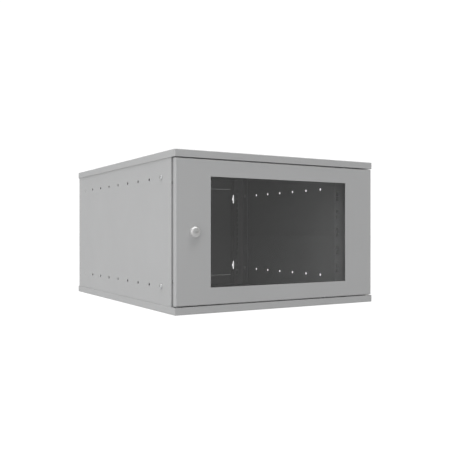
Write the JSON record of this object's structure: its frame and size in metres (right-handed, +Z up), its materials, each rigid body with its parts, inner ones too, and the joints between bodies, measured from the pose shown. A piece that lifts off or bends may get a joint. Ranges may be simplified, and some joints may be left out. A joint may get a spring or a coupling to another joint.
{
  "type": "wall mount network cabinet",
  "caption": "Wall mount network cabinet: folded steel case with rack rails, pierced side panels and a hinged glazed door with a cam lock.",
  "frame": {"origin": "middle of the underside, under the middle of the cabinet's width and depth", "axes": "+X to the right as seen from the front, +Y from the door to the back, +Z up"},
  "size_m": [0.5292, 0.608, 0.332],
  "materials": {
    "painted_steel": "light grey fine-textured powder coat",
    "zinc_plate": "bright zinc plating",
    "lock_chrome": "satin nickel plating",
    "tinted_glass": "grey tinted safety glass",
    "foam_tape": "matte black foam tape",
    "black_rubber": "moulded rubber",
    "white_nylon": "natural nylon",
    "spring_steel": "oiled spring wire"
  },
  "bodies": {
    "cabinet": {"top_cover": "painted_steel", "bottom_cover": "painted_steel", "right_side_panel": "painted_steel", "left_side_panel": "painted_steel", "back_panel": "painted_steel", "top_entry_plate": "painted_steel", "bottom_entry_plate": "painted_steel", "front_right_rail": "painted_steel", "rear_right_rail": "painted_steel", "front_left_rail": "painted_steel", "rear_left_rail": "painted_steel", "upper_hinge_bracket": "zinc_plate", "lower_hinge_bracket": "zinc_plate", "lower_hinge_pin": "zinc_plate", "hinge_washer": "white_nylon", "front_rail_bolts": "zinc_plate", "front_rail_nuts": "zinc_plate", "rear_rail_screws": "zinc_plate", "cover_screws": "zinc_plate", "entry_plate_screws": "zinc_plate", "back_panel_screws": "zinc_plate", "hinge_bracket_screws": "zinc_plate", "door_buffers": "black_rubber", "cabinet_earth_stud": "zinc_plate", "cabinet_earth_nut": "zinc_plate"},
    "door": {"door_frame": "painted_steel", "door_glass": "tinted_glass", "glass_gasket": "foam_tape", "pin_guide": "zinc_plate", "hinge_spring": "spring_steel", "lock_housing": "lock_chrome", "lock_nut": "lock_chrome", "glass_clips": "zinc_plate", "glass_clip_nuts": "zinc_plate", "door_earth_stud": "zinc_plate", "door_earth_nut": "zinc_plate"},
    "upper_hinge_pin": {"upper_hinge_pin": "zinc_plate"},
    "lock": {"lock_plug": "lock_chrome", "lock_cam": "zinc_plate", "cam_screw": "zinc_plate"}
  },
  "joints": [
    {"name": "door_hinge", "type": "hinge", "parent": "cabinet", "child": "door", "pos_m": [0.252, -0.2925, 0.166], "axis": [0, 0, 1], "range_deg": [0, 180]},
    {"name": "upper_pin_slide", "type": "slide", "parent": "door", "child": "upper_hinge_pin", "axis": [0, 0, -1], "range_m": [0, 0.008], "stiffness_N_per_m": 600, "springref_m": -0.004, "deforming": ["hinge_spring"]},
    {"name": "lock_turn", "type": "hinge", "parent": "door", "child": "lock", "pos_m": [-0.2186, -0.2995, 0.166], "axis": [0, 1, 0], "range_deg": [0, 90]}
  ]
}
